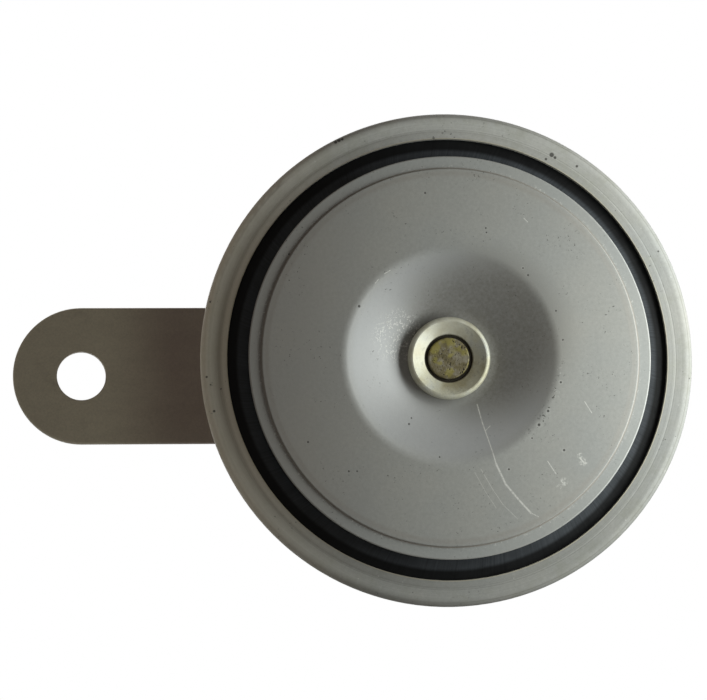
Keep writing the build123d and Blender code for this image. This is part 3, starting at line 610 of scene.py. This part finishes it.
def lacquer_dab_finish():
    """Red locking lacquer, brushed on by hand."""
    material, finish, place = new_finish("Locking lacquer")
    brush = finish.grain(place, 1.2, 3.0, 0.6)
    finish.surface(RED_LACQUER * (1.0 + brush * 0.5), 0.0, 0.32 + brush * 0.2,
                   finish.bump(brush, 0.05, 0.6))
    return material


# ---- Turned, pressed and threaded meshes

def mesh_piece(name, mesh_builder, material, body="root"):
    """A new smooth piece, sharp where its faces meet at more than SHARP degrees, riding on a body."""
    shape = bmesh.new()
    mesh_builder(shape)
    bmesh.ops.recalc_face_normals(shape, faces=shape.faces)
    mesh = bpy.data.meshes.new(name)
    shape.to_mesh(mesh)
    shape.free()
    mesh.shade_smooth()
    mesh.set_sharp_from_angle(angle=radians(SHARP))
    piece = bpy.data.objects.new(name, mesh)
    bpy.context.scene.collection.objects.link(piece)
    mesh.materials.append(material)
    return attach(piece, body)


def skin(shape, loops):
    """Joins each ring of points to the next with a band of faces."""
    for first, second in zip(loops, loops[1:]):
        for k in range(len(first)):
            after = (k + 1) % len(first)
            shape.faces.new((first[k], first[after], second[after], second[k]))


def turned_rings(shape, centre_x, rows, steps, reach_at):
    """Turns rows round an axis parallel to Y; reach_at(row, angle) gives the radius at each place."""
    loops = []
    for row in rows:
        loop = []
        for step in range(steps):
            angle = tau * step / steps
            r = reach_at(row, angle)
            loop.append(shape.verts.new((
                (centre_x + r * cos(angle)) * MM, (SEAT + row[0]) * MM, r * sin(angle) * MM)))
        loops.append(loop)
    skin(shape, loops)
    shape.faces.new(loops[0])
    shape.faces.new(list(reversed(loops[-1])))


def filleted(corners, steps=8, lead=0.08):
    """A closed profile through corners of (radius, depth, fillet); leads keep its flats flat."""
    profile = []
    befores, afters = corners[-1:] + corners[:-1], corners[1:] + corners[:1]
    for before, corner, after in zip(befores, corners, afters):
        here, fillet = Vector(corner[:2]), corner[2]
        back = (Vector(before[:2]) - here).normalized()
        ahead = (Vector(after[:2]) - here).normalized()
        half = back.angle(ahead) / 2
        reach = fillet / tan(half)
        centre = here + (back + ahead).normalized() * fillet / sin(half)
        start, end = here + back * reach - centre, here + ahead * reach - centre
        turn = start.angle_signed(end)
        profile.append(centre + start + back * lead)
        for k in range(steps + 1):
            profile.append(centre + Matrix.Rotation(-turn * k / steps, 2) @ start)
        profile.append(centre + end + ahead * lead)
    return profile


def spun(shape, centre_x, front, profile, steps):
    """Turns a closed profile of (radius, depth below front) round an axis parallel to Y."""
    rings = []
    for radius, depth in profile:
        ring = []
        for step in range(steps):
            angle = tau * step / steps
            ring.append(shape.verts.new((
                centre_x + radius * MM * cos(angle), front + depth * MM, radius * MM * sin(angle))))
        rings.append(ring)
    skin(shape, rings + rings[:1])


def thread_drop(depth, angle, pitch, height):
    """How far a vee thread, flat at root and crest, lies below its outside at this place."""
    phase = (depth / pitch - angle / tau) % 1.0
    slope = abs(2.0 * phase - 1.0)
    return height * min(1.0, max(0.0, (slope - 0.1) / 0.78))


def threaded_reach(outside, pitch, height):
    """The radius of a row at an angle, less the thread's drop where the row is threaded."""
    def reach_at(row, angle):
        depth, radius, share = row
        root = outside - share * thread_drop(depth, angle, pitch, height)
        return min(radius, root) if share else radius

    return reach_at


def eased(depth, radius, way=1):
    """The eased edge of a turned piece: its front edge, or its rear edge where way is -1."""
    rows = [(depth, radius - 0.3), (depth + 0.09 * way, radius - 0.09), (depth + 0.3 * way, radius)]
    return rows[::way]


def threaded_rows(plain, start, end, radius, pitch, chamfer, per_turn):
    """Rows of (depth, radius, threaded share): a turned profile, then a thread with a chamfered end."""
    rows = [(depth, r, 0.0) for depth, r in plain]
    count = round((end - start) / pitch * per_turn)
    for k in range(count + 1):
        depth = start + (end - start) * k / count
        rows.append((depth, radius - max(0.0, depth - (end - chamfer)), min(1.0, k / per_turn)))
    return rows


# What settings of one kind have in common
COLOUR = {"subtype": "COLOR", "size": 3, "min": 0.0, "max": 1.0}
SHARE = {"subtype": "FACTOR", "min": 0.0, "max": 1.0}
LENGTH = {"unit": "LENGTH", "subtype": "DISTANCE"}


class HornFinishSettings(bpy.types.PropertyGroup):
    """Colours and gloss of the parts that show"""

    enamel_colour: FloatVectorProperty(
        name="Enamel", description="Silver-grey enamel of ring, disc and housing",
        default=(0.445, 0.458, 0.445), **COLOUR)
    enamel_warm_colour: FloatVectorProperty(
        name="Enamel, aged", description="Warmer patches of the enamel",
        default=(0.45, 0.445, 0.41), **COLOUR)
    enamel_metallic: FloatProperty(
        name="Enamel flake", description="How metallic the enamel looks", default=0.14, **SHARE)
    enamel_roughness: FloatProperty(
        name="Enamel roughness", description="Roughness of the enamel", default=0.45, **SHARE)
    bright_colour: FloatVectorProperty(
        name="Rubbed metal", description="Scratches, sparks and the disc's rubbed edge",
        default=(0.78, 0.78, 0.74), **COLOUR)
    dirt_colour: FloatVectorProperty(
        name="Dirt", description="Specks, pits and chips in the enamel",
        default=(0.05, 0.048, 0.042), **COLOUR)
    zinc_yellow_colour: FloatVectorProperty(
        name="Yellow zinc", description="Passivated zinc of the collar",
        default=(0.50, 0.465, 0.31), **COLOUR)
    stem_end_colour: FloatVectorProperty(
        name="Stem end", description="Riveted end of the stem",
        default=(0.24, 0.205, 0.11), **COLOUR)
    lacquer_colour: FloatVectorProperty(
        name="Black lacquer", description="Diaphragm", default=(0.068, 0.076, 0.086), **COLOUR)
    lacquer_roughness: FloatProperty(
        name="Lacquer roughness", description="Roughness of the diaphragm's lacquer",
        default=0.34, **SHARE)
    strip_colour: FloatVectorProperty(
        name="Bracket strip", description="Phosphated steel strip",
        default=(0.82, 0.76, 0.60), **COLOUR)
    # Brown of the strip near the horn, with painted shade
    strip_brown_and_shade_colour: FloatVectorProperty(
        name="Bracket, browned and shaded", description="The strip near the horn",
        default=(0.42, 0.34, 0.285), **COLOUR)


class HornDiscSettings(bpy.types.PropertyGroup):
    """The press tool's sizes for the tone disc, in millimetres"""

    mouth_radius: FloatProperty(
        name="Dish mouth", description="Where the tangents of dish and flat ring cross", default=19.4)
    mouth_fillet: FloatProperty(
        name="Mouth fillet", description="Rounding of the dish's mouth", default=3.6)
    foot_radius: FloatProperty(
        name="Dish foot", description="Where the cone meets the dish's floor", default=8.65)
    dish_depth: FloatProperty(
        name="Dish depth", description="Flat ring to the dish's floor", default=4.4)
    crown_radius: FloatProperty(
        name="Crown", description="Where the flat ring starts to lean towards the step", default=33.0)
    crown_drop: FloatProperty(
        name="Crown drop", description="How far the crown falls to the step", default=0.05)
    step_radius: FloatProperty(name="Step", description="Radius of the step's top", default=34.25)
    step_depth: FloatProperty(name="Step depth", description="Flat ring to the flange", default=0.5)
    sheet: FloatProperty(name="Sheet", description="Thickness of the disc's sheet", default=1.2)
    steps_round: IntProperty(
        name="Steps round", description="Sides of the disc's mesh", min=64, max=512, default=288)


class HornThreadSettings(bpy.types.PropertyGroup):
    """Threads of the stud and of the adjusting screw"""

    stud_pitch: FloatProperty(
        name="Stud pitch", description="Pitch of the mounting stud's thread, in millimetres",
        min=0.5, max=2.0, default=1.25)
    screw_pitch: FloatProperty(
        name="Screw pitch", description="Pitch of the adjusting screw's thread, in millimetres",
        min=0.3, max=1.5, default=0.8)
    steps_round: IntProperty(
        name="Steps round", description="Sides of the threads' meshes", min=16, max=128, default=72)
    rows_a_turn: IntProperty(
        name="Rows a turn", description="Rows of faces along one pitch", min=6, max=24, default=12)


class HornStageSettings(bpy.types.PropertyGroup):
    """Camera, lamps and floor"""

    focal_length: FloatProperty(
        name="Focal length", description="Camera lens, in millimetres", unit="CAMERA", default=182.6)
    distance: FloatProperty(
        name="Camera distance", description="Camera to the middle of the view",
        default=0.650, **LENGTH)
    key_glow: FloatProperty(
        name="Key lamp", description="Brightness of the panel on the right, 1 being white",
        min=0.0, max=40.0, default=4.6)
    key_depth: FloatProperty(
        name="Key lamp depth", description="How far the panel reaches forwards",
        default=0.07, **LENGTH)
    key_height: FloatProperty(
        name="Key lamp height", description="Height of the panel on the right",
        default=0.12, **LENGTH)
    key_place: FloatVectorProperty(
        name="Key lamp place", description="Middle of the panel on the right",
        unit="LENGTH", subtype="XYZ", size=3, default=(0.152, -0.088, 0.000))
    ambient_colour: FloatVectorProperty(
        name="Room", description="Light of the room in front of the horn",
        default=(0.165, 0.150, 0.134), **COLOUR)
    floor_height: FloatProperty(
        name="Floor", description="Height of the floor under the bracket's hole",
        default=-0.135, **LENGTH)


class HORN_OT_enamel(bpy.types.Operator):
    """Finish the cover ring and housing"""

    bl_idname = "horn.enamel"
    bl_label = "Enamelled sheet"

    def execute(self, context):
        settings = context.scene.horn_finish
        wear(ring_enamel(settings), "cover_ring")
        wear(housing_enamel(settings), "housing")
        return {"FINISHED"}


class HORN_OT_disc(bpy.types.Operator):
    """Build the tone disc with its dish, crowned edge, tight step and flange"""

    bl_idname = "horn.disc"
    bl_label = "Tone disc"

    def execute(self, context):
        disc = context.scene.horn_disc
        low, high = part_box("tone_disc")
        edge = (high.x - low.x) / 2 / MM
        bore, lip_fillet, foot_fillet, crown_fillet = 3.85, 0.15, 3.0, 2.0
        step_lean, brow_fillet, crease_fillet, edge_fillet = 0.12, 0.22, 0.1, 0.25
        sheet, dish, flange = disc.sheet, disc.dish_depth, disc.step_depth
        front = [(bore, dish, lip_fillet), (disc.foot_radius, dish, foot_fillet),
                 (disc.mouth_radius, 0.0, disc.mouth_fillet), (disc.crown_radius, 0.0, crown_fillet),
                 (disc.step_radius, disc.crown_drop, brow_fillet),
                 (disc.step_radius + step_lean, flange, crease_fillet), (edge, flange, edge_fillet)]
        back = [(edge, flange + sheet, 0.3), (disc.step_radius - 0.2, flange + sheet, 0.3),
                (disc.step_radius - 0.5, disc.crown_drop + sheet, 0.15),
                (disc.crown_radius, sheet, crown_fillet),
                (disc.mouth_radius - 0.25, sheet, disc.mouth_fillet + sheet),
                (disc.foot_radius - 0.25, dish + sheet, foot_fillet - 1.0),
                (bore, dish + sheet, lip_fillet)]
        piece = mesh_piece(
            "pressed_disc",
            lambda shape: spun(shape, REACH * MM, low.y, filleted(front + back), disc.steps_round),
            disc_enamel(context.scene.horn_finish), "tone_assembly")
        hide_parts("tone_disc")
        return {"FINISHED"}


class HORN_OT_stem(bpy.types.Operator):
    """Finish the collar, the armature with its stem, and the spacer"""

    bl_idname = "horn.stem"
    bl_label = "Collar and armature"

    def execute(self, context):
        settings = context.scene.horn_finish
        wear(collar_finish(settings), "collar")
        wear(stem_finish(settings), "armature")
        wear(plated("Bright steel", (0.56, 0.56, 0.55), (0.30, 0.28, 0.25), 0.3), "disc_spacer")
        return {"FINISHED"}


class HORN_OT_diaphragm(bpy.types.Operator):
    """Finish the diaphragm and its gaskets"""

    bl_idname = "horn.diaphragm"
    bl_label = "Diaphragm and gaskets"

    def execute(self, context):
        wear(diaphragm_finish(context.scene.horn_finish), "diaphragm")
        wear(rubber_finish(), "front_gasket", "rear_gasket")
        return {"FINISHED"}


class HORN_OT_bracket(bpy.types.Operator):
    """Finish the bracket, its washers and its nut"""

    bl_idname = "horn.bracket"
    bl_label = "Bracket and fasteners"

    def execute(self, context):
        wear(bracket_finish(context.scene.horn_finish), "bracket")
        wear(plated("Zinc, washer", (0.60, 0.62, 0.64), (0.36, 0.35, 0.33), 0.36), "flat_washer")
        wear(plated("Zinc, spring washer", (0.46, 0.47, 0.49), (0.28, 0.26, 0.24), 0.4),
             "spring_washer")
        wear(plated("Zinc, nut", (0.62, 0.63, 0.62), (0.38, 0.36, 0.32), 0.34, turned=0.3),
             "mounting_nut")
        return {"FINISHED"}


class HORN_OT_magnet(bpy.types.Operator):
    """Build the core with its threaded stud, and finish bobbin, winding, yoke and rivets"""

    bl_idname = "horn.magnet"
    bl_label = "Magnet and stud"

    def execute(self, context):
        threads = context.scene.horn_threads
        low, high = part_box("pole_core")
        front, end = low.y / MM - SEAT, high.y / MM - SEAT
        core, flange, stud = 8.61, 11.0, 4.0
        shoulder, flange_sheet, plain_neck, chamfer = 33.6, 1.7, 1.2, 0.8
        pitch = threads.stud_pitch
        plain = [*eased(front, core), (shoulder - flange_sheet, core),
                 *eased(shoulder - flange_sheet, flange), *eased(shoulder, flange, -1),
                 (shoulder, stud), (shoulder + plain_neck, stud)]
        rows = threaded_rows(plain, shoulder + plain_neck + 0.05, end, stud, pitch, chamfer,
                             threads.rows_a_turn)
        reach_at = threaded_reach(stud, pitch, 0.61 * pitch)
        steel = plated("Stud steel", (0.50, 0.51, 0.52), (0.30, 0.27, 0.23), 0.33)
        piece = mesh_piece(
            "threaded_stud",
            lambda shape: turned_rings(shape, REACH, rows, threads.steps_round, reach_at),
            steel)
        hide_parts("pole_core")
        wear(moulded("Natural nylon", (0.62, 0.58, 0.48), 0.45), "coil_bobbin", "adjuster_tip")
        wear(winding_finish(), "coil_winding")
        wear(plated("Yoke steel", (0.40, 0.39, 0.37), (0.24, 0.20, 0.16), 0.42, turned=0.05),
             "yoke_plate")
        wear(plated("Yoke rivets", (0.44, 0.44, 0.43), (0.26, 0.24, 0.21), 0.4), "yoke_rivets")
        return {"FINISHED"}


class HORN_OT_contacts(bpy.types.Operator):
    """Finish the contact breaker's leaf, plate, insulators, contacts and rivets"""

    bl_idname = "horn.contacts"
    bl_label = "Contact breaker"

    def execute(self, context):
        wear(laminate_finish(), "leaf_insulator", "middle_insulator", "top_insulator",
             "terminal_insulator")
        wear(plated("Spring steel", (0.48, 0.48, 0.50), (0.26, 0.26, 0.30), 0.26), "moving_leaf")
        wear(plated("Plate brass", (0.74, 0.56, 0.26), (0.40, 0.27, 0.12), 0.32), "fixed_plate")
        wear(plated("Contact metal", (0.46, 0.45, 0.44), (0.22, 0.21, 0.22), 0.38),
             "moving_contact", "fixed_contact")
        wear(plated("Rivet steel", (0.50, 0.50, 0.50), (0.28, 0.26, 0.24), 0.36), "contact_rivets")
        return {"FINISHED"}


class HORN_OT_adjuster(bpy.types.Operator):
    """Build the threaded adjusting screw with its dab of locking lacquer, and finish its bush"""

    bl_idname = "horn.adjuster"
    bl_label = "Adjusting screw"

    def execute(self, context):
        threads = context.scene.horn_threads
        low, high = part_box("adjusting_screw")
        front, rear = low.y / MM - SEAT, high.y / MM - SEAT
        middle = (low.x + high.x) / 2 / MM
        shank, head = 2.5, (high.x - low.x) / 2 / MM
        head_height, thread_relief = 2.4, 0.4
        head_front = rear - head_height
        slot_length, slot_depth, slot_width = 20.0, 1.2, 1.2
        pitch = threads.screw_pitch
        rows = threaded_rows([(front, shank - 0.3)], front + 0.05, head_front - thread_relief, shank,
                             pitch, 0.0, threads.rows_a_turn)
        turned = [(head_front - 0.35, shank), (head_front, shank), *eased(head_front, head),
                  (rear - 0.6, head), (rear - 0.3, head - 0.08), (rear - 0.08, head - 0.3),
                  (rear, head - 0.6)]
        rows += [(depth, radius, 0.0) for depth, radius in turned]
        reach_at = threaded_reach(shank, pitch, 0.58 * pitch)
        screw = mesh_piece(
            "slotted_screw",
            lambda shape: turned_rings(shape, middle, rows, threads.steps_round, reach_at),
            plated("Zinc, screw", (0.66, 0.63, 0.50), (0.36, 0.31, 0.20), 0.32))
        cutter = bpy.data.objects.new("screw_slot_cutter", bpy.data.meshes.new("screw_slot_cutter"))
        bpy.context.scene.collection.objects.link(cutter)
        blade = bmesh.new()
        place = Matrix.Translation((middle * MM, (SEAT + rear) * MM, 0.0))
        sides = (slot_length * MM, 2 * slot_depth * MM, slot_width * MM, 1.0)
        bmesh.ops.create_cube(blade, size=1.0, matrix=place @ Matrix.Diagonal(sides))
        blade.to_mesh(cutter.data)
        blade.free()
        cut = screw.modifiers.new("slot", "BOOLEAN")
        cut.operation = "DIFFERENCE"
        cut.solver = "EXACT"
        cut.object = cutter
        slotted = bpy.data.meshes.new_from_object(
            screw.evaluated_get(context.evaluated_depsgraph_get()))
        slotted.name = "slotted_screw"
        screw.modifiers.remove(cut)
        screw.data = slotted
        bpy.data.objects.remove(cutter)
        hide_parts("adjusting_screw")

        wear(plated("Zinc, bush", (0.58, 0.59, 0.60), (0.34, 0.32, 0.28), 0.35), "adjuster_bush")
        dab_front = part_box("adjuster_bush")[1].y / MM - SEAT - 0.25
        dab_length, dab_rows, dab_sides = 1.25, 8, 40
        rows = [(dab_front + dab_length * k / dab_rows, 0.0, k / dab_rows) for k in range(dab_rows + 1)]

        def lumpy(row, angle):
            lump = noise.noise(Vector((cos(angle) * 1.3, sin(angle) * 1.3, row[2] * 2.0)))
            swell = sin(pi * (0.18 + 0.82 * row[2]))
            return shank - 0.2 + 1.15 * swell * (1.0 + 0.35 * lump)

        mesh_piece("locking_lacquer",
                   lambda shape: turned_rings(shape, middle, rows, dab_sides, lumpy),
                   lacquer_dab_finish())
        return {"FINISHED"}


class HORN_OT_terminals(bpy.types.Operator):
    """Finish the terminal block, its tabs and its rivets"""

    bl_idname = "horn.terminals"
    bl_label = "Terminals"

    def execute(self, context):
        wear(moulded("Black moulding", (0.022, 0.022, 0.023), 0.5), "terminal_block")
        wear(plated("Tab brass", (0.76, 0.60, 0.30), (0.44, 0.31, 0.15), 0.3),
             "terminal_live", "terminal_earth")
        wear(plated("Rivet brass", (0.72, 0.55, 0.27), (0.38, 0.26, 0.12), 0.36), "terminal_rivets")
        return {"FINISHED"}


class HORN_OT_stage(bpy.types.Operator):
    """Set up floor, lamps, surroundings and camera"""

    bl_idname = "horn.stage"
    bl_label = "Studio"

    def execute(self, context):
        settings = context.scene.horn_stage
        self.floor(settings)
        self.lamps(settings)
        self.surroundings(context, settings)
        self.camera(context, settings)
        context.scene.view_settings.view_transform = "Standard"
        return {"FINISHED"}

    def floor(self, settings):
        """Pale paper under the horn, a little darker in the light it throws back."""
        material, finish, place = new_finish("Studio floor")
        seen = finish.node("ShaderNodeLightPath", output="Is Camera Ray")
        paper = finish.grain(place, 0.02, 3.0) * 0.01
        shaded, lit = (0.62, 0.62, 0.61), (0.9, 0.9, 0.9)
        colour = finish.mix(seen, shaded, lit) * (1.0 + paper)
        sheet = finish.node("ShaderNodeBsdfPrincipled", None, {"Base Color": colour, "Roughness": 0.9})
        finish.node("ShaderNodeOutputMaterial", None, {"Surface": sheet})
        mesh = bpy.data.meshes.new("studio_floor")
        half = 0.75
        corners = [(-half, -half), (half, -half), (half, half), (-half, half)]
        points = [(x + REACH * MM, y, settings.floor_height) for x, y in corners]
        mesh.from_pydata(points, [], [(0, 1, 2, 3)])
        mesh.materials.append(material)
        floor = bpy.data.objects.new("studio_floor", mesh)
        bpy.context.scene.collection.objects.link(floor)

    def lamp(self, name, place, facing, upright, sides, glow, colour):
        """A flat panel whose own brightness is glow, 1 being white; the camera doesn't see it."""
        light = bpy.data.lights.new(name, "AREA")
        light.shape = "RECTANGLE"
        light.size, light.size_y = sides
        light.energy = glow * pi * sides[0] * sides[1]
        light.color = colour
        lamp = bpy.data.objects.new(name, light)
        lamp.location = place
        back = -Vector(facing).normalized()
        across = Vector(upright).cross(back).normalized()
        turn = Matrix((across, back.cross(across), back)).transposed()
        lamp.rotation_mode = "QUATERNION"
        lamp.rotation_quaternion = turn.to_quaternion()
        lamp.visible_camera = False
        bpy.context.scene.collection.objects.link(lamp)

    def lamps(self, settings):
        horn = Vector((REACH * MM, -0.04, 0.0))
        place = Vector(settings.key_place)
        self.lamp("key_panel", place, horn - place, UP,
                  (settings.key_depth, settings.key_height), settings.key_glow, (0.96, 1.0, 0.97))
        self.lamp("back_panel", (0.25, 0.8, 0.7), (-0.2, -0.8, -0.7), UP, (0.6, 0.6), 2.0, WHITE)

    def surroundings(self, context, settings):
        """White behind the horn, and the room's dimmer light in front of it, brighter from above."""
        world = bpy.data.worlds.new("Studio")
        world.use_nodes = True
        context.scene.world = world
        finish = Finish(world.node_tree)
        heading = finish.node("ShaderNodeTexCoord", output="Generated")
        rearward = heading.dot(REARWARD)
        raised = heading.dot((-0.6, 0.0, 0.8)).rise(-0.5, 1.0)
        seen = finish.node("ShaderNodeLightPath", output="Is Camera Ray")
        shone = finish.node("ShaderNodeLightPath", output="Is Glossy Ray")
        through = finish.node("ShaderNodeLightPath", output="Is Transmission Ray")
        white = seen.most(rearward.rise(0.2, 0.6) * shone.most(through))
        room = raised.scaled(tuple(settings.ambient_colour))
        light = finish.node("ShaderNodeBackground", None, {
            "Color": finish.mix(white, room, WHITE), "Strength": 1.0})
        finish.node("ShaderNodeOutputWorld", None, {"Surface": light})

    def camera(self, context, settings):
        back, right = Vector(VIEW_BACK), Vector(VIEW_RIGHT)
        view = bpy.data.cameras.new("horn_view")
        view.sensor_width = 36.0
        view.lens = settings.focal_length
        view.clip_start = 0.01
        view.clip_end = 20.0
        camera = bpy.data.objects.new("horn_view", view)
        up = back.cross(right)
        turn = Matrix((right, up, back)).transposed()
        camera.rotation_mode = "QUATERNION"
        camera.rotation_quaternion = turn.to_quaternion()
        camera.location = Vector(VIEW_TARGET) + back * settings.distance
        context.scene.collection.objects.link(camera)
        context.scene.camera = camera


SETTINGS = {
    "horn_finish": HornFinishSettings, "horn_disc": HornDiscSettings,
    "horn_threads": HornThreadSettings, "horn_stage": HornStageSettings,
}
OPERATORS = [HORN_OT_enamel, HORN_OT_disc, HORN_OT_stem, HORN_OT_diaphragm, HORN_OT_bracket,
             HORN_OT_magnet, HORN_OT_contacts, HORN_OT_adjuster, HORN_OT_terminals, HORN_OT_stage]


class HORN_PT_panel(bpy.types.Panel):
    """The horn's finishes, threads and studio"""

    bl_label = "Disc horn"
    bl_idname = "HORN_PT_panel"
    bl_space_type = "VIEW_3D"
    bl_region_type = "UI"
    bl_category = "Horn"

    def draw(self, context):
        for group in SETTINGS:
            settings = getattr(context.scene, group)
            box = self.layout.box()
            for name in settings.__annotations__:
                box.prop(settings, name)
        for operator in OPERATORS:
            self.layout.operator(operator.bl_idname)


CLASSES = [*SETTINGS.values(), *OPERATORS, HORN_PT_panel]


def register():
    for cls in CLASSES:
        bpy.utils.register_class(cls)
    for name, group in SETTINGS.items():
        setattr(bpy.types.Scene, name, PointerProperty(type=group))


def unregister():
    for name in SETTINGS:
        delattr(bpy.types.Scene, name)
    for cls in reversed(CLASSES):
        bpy.utils.unregister_class(cls)


def main():
    register()
    bpy.ops.horn.enamel()
    bpy.ops.horn.disc()
    bpy.ops.horn.stem()
    bpy.ops.horn.diaphragm()
    bpy.ops.horn.bracket()
    bpy.ops.horn.magnet()
    bpy.ops.horn.contacts()
    bpy.ops.horn.adjuster()
    bpy.ops.horn.terminals()
    bpy.ops.horn.stage()


if __name__ == "__main__":
    main()
